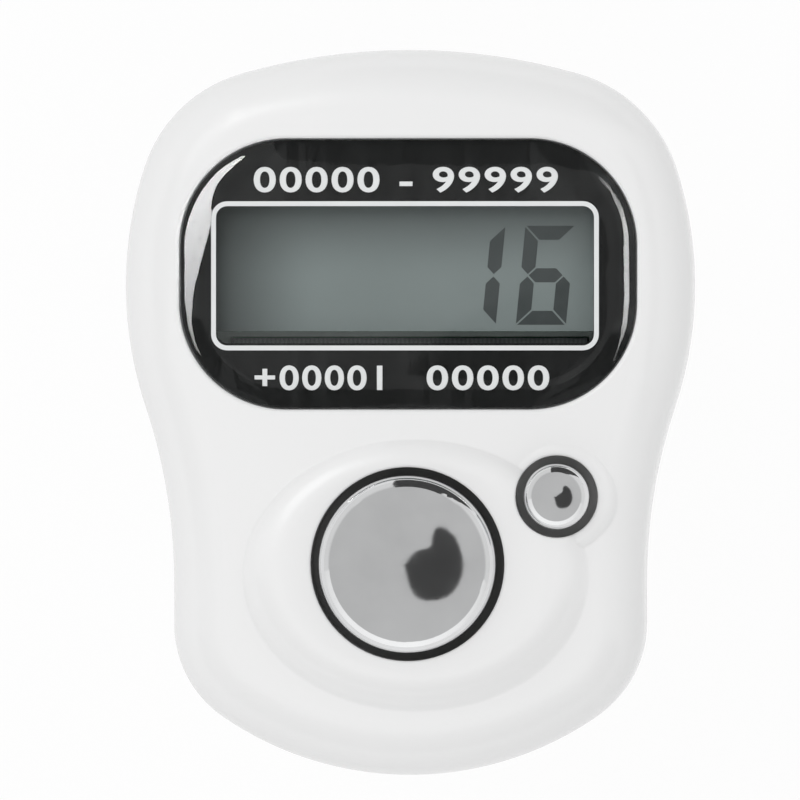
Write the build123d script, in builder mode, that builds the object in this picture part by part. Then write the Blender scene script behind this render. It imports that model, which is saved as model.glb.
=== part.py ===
from build123d import *
import math
import os

# Finger-worn tally counter lying face up: X to the wearer's right, Y towards
# the top of the display, Z out of the display. The strap rests at Z = 0.

# Body outline, a chain of tangent arcs
body_length = 42.0
body_width = 32.9
waist_inset = 2.8
widest_share = 0.1762
waist_share = 0.2321
top_radius = 35.5
shoulder_radius = 8.25
side_radius = 22.2
hip_radius = 6.5
bottom_share = 0.5805

# Body depth and walls
front_depth = 8.4
rear_depth = 4.6
side_wall = 1.5
front_wall = 2.6
rear_wall = 1.4
front_edge_radius = 3.2
rear_edge_radius = 1.8
inner_edge_radius = 1.0
parting_groove = 0.2
rim_radius = 0.2
crown_across = 200.0
crown_along = 260.0
crown_height = 2.0
lip_height = 0.7
lip_thickness = 0.8
fit_clearance = 0.1
overrun = 2.0

# Finger strap
strap_thickness = 1.2
strap_width = 9.0
strap_gap = 0.1
finger_width = 20.0
finger_height = 16.5
bend_radius = 5.0
neck_width = 7.0
head_width = 10.6
head_span = 3.2
head_thickness = 1.2
hole_radius = 1.05
hole_pitch = 2.4
hole_count = 4
first_hole = 4.2
peg_holes = (1, 2)
peg_radius = 0.9
peg_tip_radius = 0.55
peg_height = 1.05
tip_margin = 1.8
tip_corner = 2.5
hinge_gap = 0.05

# Display lens and its print
lens_side_margin = 3.3
lens_top_margin = 5.25
lens_share = 0.369
lens_corner = 6.1
lens_seat_depth = 1.7
lens_proud = 0.5
lens_edge_radius = 3.0
lens_edge_run = 1.9
lens_clearance = 0.08
tape_width = 1.2
tape_thickness = 0.15
mask_thickness = 0.1
window_side_margin = 2.25
window_end_margin = 3.75
window_corner = 0.6
window_shift = -0.2
window_margin = 0.5

# Display stack
lcd_side_margin = 1.35
lcd_end_margin = 2.05
lcd_ledge = 2.4
lcd_gap = 0.1
glass_thickness = 0.7
film_thickness = 0.2
film_margin = 0.4
carrier_wall = 0.8
carrier_corner = 1.0
carrier_lip = 1.4
zebra_end_margin = 1.5
zebra_thickness = 1.6

# Circuit board and what it carries
board_thickness = 1.0
board_height = 4.0
board_inset = 2.8
blob_radius = 3.0
blob_height = 1.2
blob_share = 0.2143
chip_length = 1.2
chip_width = 0.7
chip_height = 0.5
chip_row_gap = 1.5
chip_count = 3
chip_gap = 1.0
cell_radius = 5.8
cell_thickness = 3.1
cell_edge_radius = 0.4
cell_share = 0.131
contact_thickness = 0.3
contact_width = 3.0
contact_length = 8.0
clip_thickness = 0.25
clip_width = 5.0

# Buttons
face_share = 0.784
mound_side_margin = 4.4
mound_end_margin = 2.4
mound_shift = 0.4
mound_share = 0.2143
mound_rise = 0.8
mound_run = 1.5
mound_fall = 0.72
collar_margin = 1.52
collar_run = 0.82
collar_fall = 0.43
collar_reach = 0.36
collar_rise = 0.15
count_place_share = 0.2083
count_share = 0.1556
count_keeper = 0.98
count_rise = 1.7
count_dome_radius = 23.0
count_shoulder = 0.8
count_travel = 1.0
reset_side_share = 0.2614
reset_drop_share = 0.1155
reset_share = 0.0577
reset_keeper = 0.85
reset_rise = 1.55
reset_dome_radius = 7.0
reset_shoulder = 0.6
reset_travel = 0.8
button_gap = 0.48
button_wall = 0.8
flange_thickness = 0.8
pill_thickness = 0.35
switch_gap = 0.05
dome_cap = 0.6
dome_base = 0.5
dome_web = 0.4
count_stem = 1.8
reset_stem = 0.7
count_cap = 2.0
reset_cap = 1.1
count_foot_inset = 1.7
reset_foot_inset = 0.35

# Screws
board_screw_radius = 0.75
board_screw_grip = 3.0
board_head_radius = 1.35
board_head_height = 0.7
board_boss_radius = 1.6
board_boss_gap = 0.7
board_low_inset = 4.65
board_low_margin = 8.4
case_screw_radius = 0.8
case_screw_grip = 3.0
case_head_radius = 1.5
case_head_height = 0.8
case_head_recess = 0.2
case_boss_radius = 1.7
case_boss_gap = 0.2
case_top_inset = 7.95
case_low_inset = 6.65
case_low_margin = 5.4
drive_width = 0.35
drive_length = 1.7
drive_depth = 0.4

# Plan sizes and places that follow the body's length and width
waist_width = body_width - 2 * waist_inset
widest_height = body_length * widest_share
waist_drop = body_length * waist_share
bottom_radius = body_width * bottom_share
lens_width = body_width - 2 * lens_side_margin
lens_length = body_length * lens_share
lens_height = body_length / 2 - lens_top_margin - lens_length / 2
window_width = lens_width - 2 * window_side_margin
window_length = lens_length - 2 * window_end_margin
lcd_width = lens_width - 2 * lcd_side_margin
lcd_length = lens_length - 2 * lcd_end_margin
lcd_foot = lens_height - lcd_length / 2
zebra_length = lcd_width - 2 * zebra_end_margin
face_width = min(body_width, body_length * face_share)
count_radius = face_width * count_share
count_flange = count_radius + count_keeper
count_foot = count_flange - count_foot_inset
count_drop = body_length * count_place_share
reset_radius = face_width * reset_share
reset_flange = reset_radius + reset_keeper
reset_foot = reset_flange - reset_foot_inset
reset_side = body_width * reset_side_share
reset_drop = body_length * reset_drop_share
mound_width = 2 * (count_radius + mound_side_margin)
mound_length = 2 * (count_radius + mound_end_margin)
mound_drop = body_length * mound_share
collar_radius = reset_radius + collar_margin
blob_drop = body_length * blob_share
chip_side = blob_radius + chip_gap + chip_length / 2
cell_height = body_length * cell_share
carrier_top = lens_height + lcd_length / 2 + carrier_wall
board_top_screw = carrier_top + board_boss_gap + board_boss_radius
board_low_side = waist_width / 2 - board_low_inset
board_low_drop = body_length / 2 - board_low_margin
case_top_side = body_width / 2 - case_top_inset
case_top_height = carrier_top + case_boss_gap + case_boss_radius
case_low_side = waist_width / 2 - case_low_inset
case_low_drop = body_length / 2 - case_low_margin

# Levels, counted up from the table
rear_level = strap_thickness + strap_gap + strap_thickness + finger_height
parting_level = rear_level + rear_depth
front_level = parting_level + front_depth
floor_level = rear_level + rear_wall
ceiling_level = front_level - front_wall
seat_level = front_level - lens_seat_depth
lens_level = seat_level + tape_thickness + mask_thickness
board_level = floor_level + board_height
board_top = board_level + board_thickness
film_level = ceiling_level - lcd_gap - film_thickness
front_glass_level = film_level - glass_thickness
rear_glass_level = front_glass_level - glass_thickness
reflector_level = rear_glass_level - film_thickness
case_boss_level = (board_level + board_top) / 2
case_seat_level = rear_level + case_head_height + case_head_recess

# Places of the screws
board_screw_places = (
    (0, board_top_screw),
    (board_low_side, -board_low_drop),
    (-board_low_side, -board_low_drop),
)
case_screw_places = (
    (case_top_side, case_top_height),
    (-case_top_side, case_top_height),
    (case_low_side, -case_low_drop),
    (-case_low_side, -case_low_drop),
)


def body_outline(inset):
    """Body outline drawn in by inset, as tangent arcs about the middle line."""
    half_length = body_length / 2
    half_width = body_width / 2
    half_waist = waist_width / 2
    narrowing = half_width - half_waist
    fall = widest_height + waist_drop
    waist_radius = (narrowing**2 + fall**2) / (2 * narrowing) - side_radius

    # Corner where the top arc and the side arc would meet
    top_middle = Vector(0, half_length - top_radius)
    side_middle = Vector(half_width - side_radius, widest_height)
    apart = (side_middle - top_middle).length
    along = (side_middle - top_middle).normalized()
    top_reach = top_radius - inset
    side_reach = side_radius - inset
    step = (top_reach**2 - side_reach**2 + apart**2) / (2 * apart)
    across = math.sqrt(top_reach**2 - step**2)
    shoulder = top_middle + along * step + Vector(along.Y, -along.X) * across

    # Where the side arc turns into the waist arc, and the corner at the hip
    waist_middle = Vector(half_waist + waist_radius, -waist_drop)
    turn = side_middle + (waist_middle - side_middle).normalized() * side_reach
    waist_side = half_waist - inset
    hip_fall = math.sqrt((bottom_radius - inset) ** 2 - waist_side**2)
    hip = Vector(waist_side, bottom_radius - half_length - hip_fall)

    widest = Vector(half_width - inset, widest_height)
    waist = Vector(waist_side, -waist_drop)
    with BuildSketch() as outline:
        with BuildLine():
            TangentArc((0, half_length - inset), shoulder, tangent=(1, 0))
            TangentArc(widest, shoulder, tangent=(0, 1))
            TangentArc(widest, turn, tangent=(0, -1))
            TangentArc(waist, turn, tangent=(0, 1))
            Line(waist, hip)
            TangentArc((0, inset - half_length), hip, tangent=(1, 0))
            mirror(about=Plane.YZ)
        make_face()
        fillet(outline.vertices().group_by(Axis.Y)[0], hip_radius - inset)
        fillet(outline.vertices().group_by(Axis.Y)[-1], shoulder_radius - inset)
    return outline.sketch


def crown(apex):
    """Solid under the gently domed front, highest at apex."""
    sag = crown_across - math.sqrt(crown_across**2 - body_width**2)
    axle = apex - crown_along
    with BuildPart() as block:
        with BuildSketch(Plane.XZ.offset(-crown_height)):
            with BuildLine():
                TangentArc((0, apex), (body_width, apex - sag), tangent=(1, 0))
                TangentArc((0, apex), (-body_width, apex - sag), tangent=(-1, 0))
                Line((body_width, apex - sag), (body_width, axle))
                Line((body_width, axle), (-body_width, axle))
                Line((-body_width, axle), (-body_width, apex - sag))
            make_face()
        revolve(axis=Axis((0, crown_height, axle), (1, 0, 0)))
    return block.part


def crown_fall(side, height):
    """How far the domed front has fallen at a place, below its highest point."""
    fall_across = crown_across - math.sqrt(crown_across**2 - side**2)
    fall_along = crown_along - math.sqrt(crown_along**2 - (height - crown_height) ** 2)
    return fall_across + fall_along


mound_level = front_level - crown_fall(mound_shift, -mound_drop) + mound_rise
collar_level = front_level - crown_fall(reset_side, -reset_drop) + collar_rise
count_top = mound_level + count_rise
reset_top = collar_level + reset_rise
count_place = (0, -count_drop)
reset_place = (reset_side, -reset_drop)


def spin_plane(place):
    """Upright plane through a button's own axis."""
    return Plane(origin=(*place, 0), x_dir=(1, 0, 0), z_dir=(0, -1, 0))


def push_button(place, top, radius, flange, dome, shoulder, stem, stem_level):
    """Cup-shaped button with a domed face, a keeper flange and a middle stem."""
    rim = top - (dome - math.sqrt(dome**2 - radius**2))
    roof = rim - shoulder - button_wall
    under = ceiling_level - flange_thickness
    hollow = radius - button_wall
    with BuildPart() as button:
        with BuildSketch(spin_plane(place)) as profile:
            with BuildLine():
                TangentArc((0, top), (radius, rim), tangent=(1, 0))
                Polyline(
                    (radius, rim),
                    (radius, ceiling_level),
                    (flange, ceiling_level),
                    (flange, under),
                    (hollow, under),
                    (hollow, roof),
                    (stem, roof),
                    (stem, stem_level),
                    (0, stem_level),
                    (0, top),
                )
            make_face()
            fillet(profile.vertices().group_by(Axis.X)[-2].sort_by(Axis.Y)[-1], shoulder)
        revolve(axis=Axis((*place, 0), (0, 0, 1)))
    return button.part


def rubber_dome(place, foot, cap, stem_level):
    """Rubber return spring: a foot ring, a slanting web and a solid cap."""
    cap_level = stem_level - dome_cap
    foot_top = board_top + dome_base
    with BuildPart() as dome:
        with BuildSketch(spin_plane(place)):
            with BuildLine():
                Polyline(
                    (0, stem_level),
                    (cap, stem_level),
                    (foot - dome_base, foot_top),
                    (foot, foot_top),
                    (foot, board_top),
                    (foot - dome_base - dome_web, board_top),
                    (cap - dome_web, cap_level),
                    (0, cap_level),
                    close=True,
                )
            make_face()
        revolve(axis=Axis((*place, 0), (0, 0, 1)))
    return dome.part


def contact_pill(place, radius, level):
    """Conductive disc that closes the switch under a button."""
    with BuildPart() as pill:
        with BuildSketch(Plane.XY.offset(level)):
            with Locations(place):
                Circle(radius)
        extrude(amount=pill_thickness)
    return pill.part


def screw(places, seat, head_radius, head_height, radius, length):
    """Group of pan-head screws driven upwards, with cross recesses."""
    with BuildPart() as group:
        with BuildSketch(Plane.XY.offset(seat - head_height)):
            with Locations(*places):
                Circle(head_radius)
        extrude(amount=head_height)
        with BuildSketch(Plane.XY.offset(seat)):
            with Locations(*places):
                Circle(radius)
        extrude(amount=length)
        with BuildSketch(Plane.XY.offset(seat - head_height)):
            with Locations(*places):
                Rectangle(drive_length, drive_width)
                Rectangle(drive_width, drive_length)
        extrude(amount=drive_depth, mode=Mode.SUBTRACT)
    return group.part


def save(part, name):
    part.label = name
    export_step(part, f"parts/{name}.step")


os.makedirs("parts", exist_ok=True)

# Hollow inside the front half, with a rounded ceiling edge
with BuildPart() as front_cavity:
    with BuildSketch(Plane.XY.offset(parting_level)):
        add(body_outline(side_wall))
    extrude(amount=ceiling_level - parting_level)
    fillet(front_cavity.faces().sort_by(Axis.Z)[-1].edges(), inner_edge_radius)


def rolled_rise(radius, run, top, fall, reach):
    """Low round rise about the upright axis: a rolled edge and a hollow foot that ends at its reach."""
    half_level = top - fall
    foot_level = half_level - fall
    with BuildPart() as rise:
        with BuildSketch(Plane.XZ):
            with BuildLine():
                TangentArc((radius - run, top), (radius, half_level), tangent=(1, 0))
                TangentArc((radius + run, foot_level), (radius, half_level), tangent=(-1, 0))
                Polyline((radius + run, foot_level), (0, foot_level), (0, top), (radius - run, top))
            make_face()
        revolve(axis=Axis.Z)
        Cylinder(radius + reach, 2 * top, mode=Mode.INTERSECT)
    return rise.part


def mound():
    """Oval rise under the count button: a round one, widened."""
    with BuildPart() as oval:
        add(rolled_rise(mound_length / 2, mound_run, mound_level, mound_fall, mound_run))
        scale(by=(mound_width / mound_length, 1, 1))
    return oval.part


# White front half of the body, with the mound, the collar and the lens seat
with BuildPart() as front_shell:
    with BuildSketch(Plane.XY.offset(parting_level)):
        add(body_outline(0))
    extrude(amount=front_depth + overrun)
    add(crown(front_level), mode=Mode.INTERSECT)
    fillet(front_shell.faces().sort_by(Axis.Z)[-1].edges(), front_edge_radius)
    chamfer(front_shell.faces().sort_by(Axis.Z)[0].edges(), parting_groove)
    add(Pos(mound_shift, -mound_drop) * mound())
    collar = rolled_rise(collar_radius, collar_run, collar_level, collar_fall, collar_reach)
    add(Pos(*reset_place) * collar)
    add(front_cavity.part, mode=Mode.SUBTRACT)
    with BuildSketch(Plane.XY.offset(seat_level)):
        with Locations((0, lens_height)):
            RectangleRounded(
                lens_width + 2 * lens_clearance,
                lens_length + 2 * lens_clearance,
                lens_corner + lens_clearance,
            )
    extrude(amount=lens_seat_depth + overrun, mode=Mode.SUBTRACT)
    seat_edges = front_shell.edges(Select.LAST)
    fillet(seat_edges.filter_by_position(Axis.Z, lens_level + mask_thickness, front_level), rim_radius)
    with BuildSketch(Plane.XY.offset(ceiling_level)):
        with Locations((window_shift, lens_height)):
            RectangleRounded(
                window_width + 2 * window_margin,
                window_length + 2 * window_margin,
                window_corner + window_margin,
            )
        with Locations(count_place):
            Circle(count_radius + button_gap)
        with Locations(reset_place):
            Circle(reset_radius + button_gap)
    extrude(amount=front_wall + overrun, mode=Mode.SUBTRACT)
    with BuildSketch(Plane.XY.offset(board_top)):
        with Locations(*board_screw_places):
            Circle(board_boss_radius)
    extrude(amount=ceiling_level - board_top)
    with BuildSketch(Plane.XY.offset(case_boss_level)):
        with Locations(*case_screw_places):
            Circle(case_boss_radius)
    extrude(amount=ceiling_level - case_boss_level)
    with BuildSketch(Plane.XY.offset(board_top)):
        with Locations(*board_screw_places):
            Circle(board_screw_radius)
    extrude(amount=board_screw_grip, mode=Mode.SUBTRACT)
    with BuildSketch(Plane.XY.offset(case_boss_level)):
        with Locations(*case_screw_places):
            Circle(case_screw_radius)
    extrude(amount=case_screw_grip, mode=Mode.SUBTRACT)
save(front_shell.part, "front_shell")

# White back half, with screw posts, a locating lip and the strap slots
strap_side = (finger_width + strap_thickness) / 2
with BuildPart() as rear_cover:
    with BuildSketch(Plane.XY.offset(rear_level)):
        add(body_outline(0))
    extrude(amount=rear_depth)
    fillet(rear_cover.faces().sort_by(Axis.Z)[0].edges(), rear_edge_radius)
    chamfer(rear_cover.faces().sort_by(Axis.Z)[-1].edges(), parting_groove)
    with BuildSketch(Plane.XY.offset(floor_level)):
        add(body_outline(side_wall))
    extrude(amount=rear_depth, mode=Mode.SUBTRACT)
    with BuildSketch(Plane.XY.offset(parting_level)):
        add(body_outline(side_wall))
        add(body_outline(side_wall + fit_clearance + lip_thickness), mode=Mode.SUBTRACT)
    extrude(amount=-lip_height)
    with BuildSketch(Plane.XY.offset(parting_level)):
        add(body_outline(side_wall + fit_clearance))
        add(body_outline(side_wall + fit_clearance + lip_thickness), mode=Mode.SUBTRACT)
    extrude(amount=lip_height)
    with BuildSketch(Plane.XY.offset(floor_level)):
        with Locations(*case_screw_places):
            Circle(case_boss_radius)
    extrude(amount=case_boss_level - floor_level)
    with BuildSketch(Plane.XY.offset(rear_level)):
        with Locations(*case_screw_places):
            Circle(case_screw_radius + fit_clearance)
    extrude(amount=case_boss_level - rear_level, mode=Mode.SUBTRACT)
    with BuildSketch(Plane.XY.offset(case_seat_level)):
        with Locations(*case_screw_places):
            Circle(case_head_radius + fit_clearance)
    extrude(amount=-case_head_height - case_head_recess, mode=Mode.SUBTRACT)
    with BuildSketch(Plane.XY.offset(rear_level)):
        with Locations((strap_side, 0), (-strap_side, 0)):
            Rectangle(strap_thickness + 2 * fit_clearance, neck_width + 2 * fit_clearance)
    extrude(amount=rear_wall, mode=Mode.SUBTRACT)
save(rear_cover.part, "rear_cover")

# Clear lens, domed like the shell around it, with a broad rolled edge
lens_overhang = lens_edge_radius - lens_edge_run
with BuildPart() as display_lens:
    with BuildSketch(Plane.XY.offset(lens_level - lens_edge_radius)):
        with Locations((0, lens_height)):
            RectangleRounded(
                lens_width + 2 * lens_overhang,
                lens_length + 2 * lens_overhang,
                lens_corner + lens_overhang,
            )
    extrude(amount=lens_edge_radius + lens_seat_depth + overrun)
    add(crown(front_level + lens_proud), mode=Mode.INTERSECT)
    fillet(display_lens.faces().sort_by(Axis.Z)[-1].edges(), lens_edge_radius)
    with BuildSketch(Plane.XY.offset(lens_level)):
        with Locations((0, lens_height)):
            RectangleRounded(lens_width, lens_length, lens_corner)
    extrude(amount=lens_seat_depth + overrun, mode=Mode.INTERSECT)
save(display_lens.part, "display_lens")

# Black printed film under the lens, with the display window
with BuildPart() as lens_mask:
    with BuildSketch(Plane.XY.offset(seat_level + tape_thickness)):
        with Locations((0, lens_height)):
            RectangleRounded(lens_width, lens_length, lens_corner)
        with Locations((window_shift, lens_height)):
            RectangleRounded(window_width, window_length, window_corner, mode=Mode.SUBTRACT)
    extrude(amount=mask_thickness)
save(lens_mask.part, "lens_mask")

# Adhesive ring between the film and the lens seat
with BuildPart() as lens_tape:
    with BuildSketch(Plane.XY.offset(seat_level)):
        with Locations((0, lens_height)):
            RectangleRounded(lens_width, lens_length, lens_corner)
            RectangleRounded(
                lens_width - 2 * tape_width,
                lens_length - 2 * tape_width,
                lens_corner - tape_width,
                mode=Mode.SUBTRACT,
            )
    extrude(amount=tape_thickness)
save(lens_tape.part, "lens_tape")

# Liquid-crystal display: front film, two glasses and a reflector
cell_length = lcd_length - lcd_ledge
cell_middle = lcd_foot + lcd_ledge + cell_length / 2
with BuildPart() as lcd_polariser:
    with BuildSketch(Plane.XY.offset(film_level)):
        with Locations((0, cell_middle)):
            Rectangle(lcd_width - 2 * film_margin, cell_length)
    extrude(amount=film_thickness)
save(lcd_polariser.part, "lcd_polariser")

with BuildPart() as lcd_front_glass:
    with BuildSketch(Plane.XY.offset(front_glass_level)):
        with Locations((0, lens_height)):
            Rectangle(lcd_width, lcd_length)
    extrude(amount=glass_thickness)
save(lcd_front_glass.part, "lcd_front_glass")

with BuildPart() as lcd_rear_glass:
    with BuildSketch(Plane.XY.offset(rear_glass_level)):
        with Locations((0, cell_middle)):
            Rectangle(lcd_width, cell_length)
    extrude(amount=glass_thickness)
save(lcd_rear_glass.part, "lcd_rear_glass")

with BuildPart() as lcd_reflector:
    with BuildSketch(Plane.XY.offset(reflector_level)):
        with Locations((0, cell_middle)):
            Rectangle(lcd_width, cell_length)
    extrude(amount=film_thickness)
save(lcd_reflector.part, "lcd_reflector")

# Plastic carrier that stands on the board and holds the display
ledge_middle = lcd_foot + lcd_ledge / 2
with BuildPart() as display_carrier:
    with BuildSketch(Plane.XY.offset(board_top)):
        with Locations((0, lens_height)):
            RectangleRounded(
                lcd_width + 2 * carrier_wall, lcd_length + 2 * carrier_wall, carrier_corner
            )
    extrude(amount=front_glass_level + glass_thickness / 2 - board_top)
    with BuildSketch(Plane.XY.offset(reflector_level)):
        with Locations((0, lens_height)):
            Rectangle(lcd_width + 2 * fit_clearance, lcd_length + 2 * fit_clearance)
    extrude(amount=overrun, mode=Mode.SUBTRACT)
    with BuildSketch(Plane.XY.offset(board_top)):
        with Locations((0, cell_middle)):
            Rectangle(lcd_width - 2 * carrier_lip, cell_length - 2 * carrier_lip)
        with Locations((0, ledge_middle)):
            Rectangle(zebra_length + 2 * fit_clearance, zebra_thickness + 2 * fit_clearance)
    extrude(amount=reflector_level - board_top, mode=Mode.SUBTRACT)
save(display_carrier.part, "display_carrier")

# Rubber strip that carries the signals from the board up to the glass
with BuildPart() as zebra_strip:
    with BuildSketch(Plane.XY.offset(board_top)):
        with Locations((0, ledge_middle)):
            Rectangle(zebra_length, zebra_thickness)
    extrude(amount=front_glass_level - board_top)
save(zebra_strip.part, "zebra_strip")

# Circuit board with clearance for the screw posts
with BuildPart() as circuit_board:
    with BuildSketch(Plane.XY.offset(board_level)):
        add(body_outline(board_inset))
        with Locations(*case_screw_places):
            Circle(case_boss_radius + fit_clearance, mode=Mode.SUBTRACT)
        with Locations(*board_screw_places):
            Circle(board_screw_radius + fit_clearance, mode=Mode.SUBTRACT)
    extrude(amount=board_thickness)
save(circuit_board.part, "circuit_board")

# Sealed chip under the board, a low round cap
with BuildPart() as chip_blob:
    with BuildSketch(spin_plane((0, -blob_drop))):
        with BuildLine():
            TangentArc(
                (0, board_level - blob_height), (blob_radius, board_level), tangent=(1, 0)
            )
            Polyline((blob_radius, board_level), (0, board_level), (0, board_level - blob_height))
        make_face()
    revolve(axis=Axis((0, -blob_drop, 0), (0, 0, 1)))
save(chip_blob.part, "chip_blob")

# Row of small surface parts beside the chip
with BuildPart() as chip_parts:
    with BuildSketch(Plane.XY.offset(board_level)):
        with Locations((chip_side, -blob_drop)):
            with GridLocations(chip_length, chip_width + chip_row_gap, 1, chip_count):
                Rectangle(chip_length, chip_width)
    extrude(amount=-chip_height)
save(chip_parts.part, "chip_parts")

# Button cell with its two contacts
cell_top = board_level - contact_thickness
cell_level = cell_top - cell_thickness
with BuildPart() as button_cell:
    with BuildSketch(Plane.XY.offset(cell_level)):
        with Locations((0, cell_height)):
            Circle(cell_radius)
    extrude(amount=cell_thickness)
    fillet(button_cell.edges().filter_by(GeomType.CIRCLE), cell_edge_radius)
save(button_cell.part, "button_cell")

with BuildPart() as negative_contact:
    with BuildSketch(Plane.XY.offset(cell_top)):
        with Locations((0, cell_height)):
            Rectangle(contact_width, contact_length)
    extrude(amount=contact_thickness)
save(negative_contact.part, "negative_contact")

clip_reach = cell_radius + fit_clearance
with BuildPart() as battery_clip:
    with BuildSketch(Plane.YZ.offset(-clip_width / 2)):
        with BuildLine():
            Polyline(
                (cell_height - clip_reach - clip_thickness, board_level),
                (cell_height - clip_reach - clip_thickness, cell_level - clip_thickness),
                (cell_height + clip_reach + clip_thickness, cell_level - clip_thickness),
                (cell_height + clip_reach + clip_thickness, board_level),
                (cell_height + clip_reach, board_level),
                (cell_height + clip_reach, cell_level),
                (cell_height - clip_reach, cell_level),
                (cell_height - clip_reach, board_level),
                close=True,
            )
        make_face()
    extrude(amount=clip_width)
save(battery_clip.part, "battery_clip")

# Screws: one group under the board, one group under the rear cover
board_screws = screw(
    board_screw_places,
    board_level,
    board_head_radius,
    board_head_height,
    board_screw_radius,
    board_thickness + board_screw_grip,
)
save(board_screws, "board_screws")
case_screws = screw(
    case_screw_places,
    case_seat_level,
    case_head_radius,
    case_head_height,
    case_screw_radius,
    case_boss_level - case_seat_level + case_screw_grip,
)
save(case_screws, "case_screws")

# Chrome buttons, with the rubber dome and the contact pill under each
count_pill_level = board_top + count_travel + switch_gap
reset_pill_level = board_top + reset_travel + switch_gap
count_stem_level = count_pill_level + pill_thickness + dome_cap
reset_stem_level = reset_pill_level + pill_thickness + dome_cap
count_button = push_button(
    count_place,
    count_top,
    count_radius,
    count_flange,
    count_dome_radius,
    count_shoulder,
    count_stem,
    count_stem_level,
)
save(count_button, "count_button")
reset_button = push_button(
    reset_place,
    reset_top,
    reset_radius,
    reset_flange,
    reset_dome_radius,
    reset_shoulder,
    reset_stem,
    reset_stem_level,
)
save(reset_button, "reset_button")
save(rubber_dome(count_place, count_foot, count_cap, count_stem_level), "count_dome")
save(rubber_dome(reset_place, reset_foot, reset_cap, reset_stem_level), "reset_dome")
pill_margin = dome_web + fit_clearance
save(contact_pill(count_place, count_cap - pill_margin, count_pill_level), "count_pill")
save(contact_pill(reset_place, reset_cap - pill_margin, reset_pill_level), "reset_pill")

# Soft finger strap. Each side hangs from a flat head inside the rear cover.
half_finger = finger_width / 2
bend_outer = bend_radius + strap_thickness
bend_side = half_finger - bend_radius
hinge_level = strap_thickness / 2


def strap_head(side):
    """Narrow neck through the rear cover and the flat head that keeps it there."""
    with BuildPart() as head:
        with BuildSketch(Plane.XY.offset(rear_level)):
            with Locations((side, 0)):
                Rectangle(strap_thickness, neck_width)
        extrude(amount=rear_wall)
        with BuildSketch(Plane.XY.offset(floor_level)):
            with Locations((side, 0)):
                Rectangle(head_span, head_width)
        extrude(amount=head_thickness)
    return head.part


holed_level = strap_thickness + strap_gap
holed_tip = hole_pitch * (hole_count - 1) - first_hole + tip_margin
with BuildPart() as strap_holed:
    with BuildSketch(Plane.XZ.offset(-strap_width / 2)):
        with BuildLine():
            bend_level = holed_level + bend_outer
            Line((-half_finger, rear_level), (-half_finger - strap_thickness, rear_level))
            Line((-half_finger - strap_thickness, rear_level), (-half_finger - strap_thickness, bend_level))
            TangentArc(
                (-half_finger - strap_thickness, bend_level), (-bend_side, holed_level), tangent=(0, -1)
            )
            Line((-bend_side, holed_level), (holed_tip, holed_level))
            Line((holed_tip, holed_level), (holed_tip, holed_level + strap_thickness))
            Line((holed_tip, holed_level + strap_thickness), (-bend_side, holed_level + strap_thickness))
            TangentArc(
                (-bend_side, holed_level + strap_thickness), (-half_finger, bend_level), tangent=(-1, 0)
            )
            Line((-half_finger, bend_level), (-half_finger, rear_level))
        make_face()
    extrude(amount=strap_width)
    tip_edges = strap_holed.edges().filter_by(Axis.Z).group_by(Axis.X)[-1]
    fillet(tip_edges, tip_corner)
    with BuildSketch(Plane.XY.offset(holed_level)):
        with Locations(*[(hole_pitch * i - first_hole, 0) for i in range(hole_count)]):
            Circle(hole_radius)
    extrude(amount=strap_thickness, mode=Mode.SUBTRACT)
    add(strap_head(-strap_side))
save(strap_holed.part, "strap_holed")

# Other strap: its root stays with the body and its pegged tab peels open
root_end = bend_side + hinge_level + hinge_gap
bend_top = bend_outer
root_rise = bend_outer - math.sqrt(bend_outer**2 - (root_end - bend_side) ** 2)
root_inner_rise = bend_radius - math.sqrt(bend_radius**2 - (root_end - bend_side) ** 2)
with BuildPart() as strap_root:
    with BuildSketch(Plane.XZ.offset(-strap_width / 2)):
        with BuildLine():
            Line((half_finger, rear_level), (half_finger + strap_thickness, rear_level))
            Line((half_finger + strap_thickness, rear_level), (half_finger + strap_thickness, bend_top))
            TangentArc(
                (half_finger + strap_thickness, bend_top), (root_end, root_rise), tangent=(0, -1)
            )
            Line((root_end, root_rise), (root_end, strap_thickness + root_inner_rise))
            TangentArc(
                (half_finger, bend_top),
                (root_end, strap_thickness + root_inner_rise),
                tangent=(0, -1),
            )
            Line((half_finger, bend_top), (half_finger, rear_level))
        make_face()
    extrude(amount=strap_width)
    add(strap_head(strap_side))
save(strap_root.part, "strap_root")

tab_tip = -first_hole - tip_margin
peg_places = [(hole_pitch * i - first_hole, 0, strap_thickness) for i in peg_holes]
with BuildPart() as strap_tab:
    with BuildSketch(Plane.XZ.offset(-strap_width / 2)):
        with BuildLine():
            Line((tab_tip, 0), (bend_side, 0))
            TangentArc((bend_side, 0), (bend_side, strap_thickness), tangent=(1, 0))
            Line((bend_side, strap_thickness), (tab_tip, strap_thickness))
            Line((tab_tip, strap_thickness), (tab_tip, 0))
        make_face()
    extrude(amount=strap_width)
    fillet(strap_tab.edges().filter_by(Axis.Z), tip_corner)
    with Locations(*peg_places):
        Cone(peg_radius, peg_tip_radius, peg_height, align=(Align.CENTER, Align.CENTER, Align.MIN))
save(strap_tab.part, "strap_tab")
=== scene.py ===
# %% [markdown]
# # A finger-worn tally counter
# The imported model is the fixed frame of this scene. It is loaded first.

# %% Load the frame
import math

import bmesh
import bpy
from mathutils import Matrix, Vector


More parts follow.
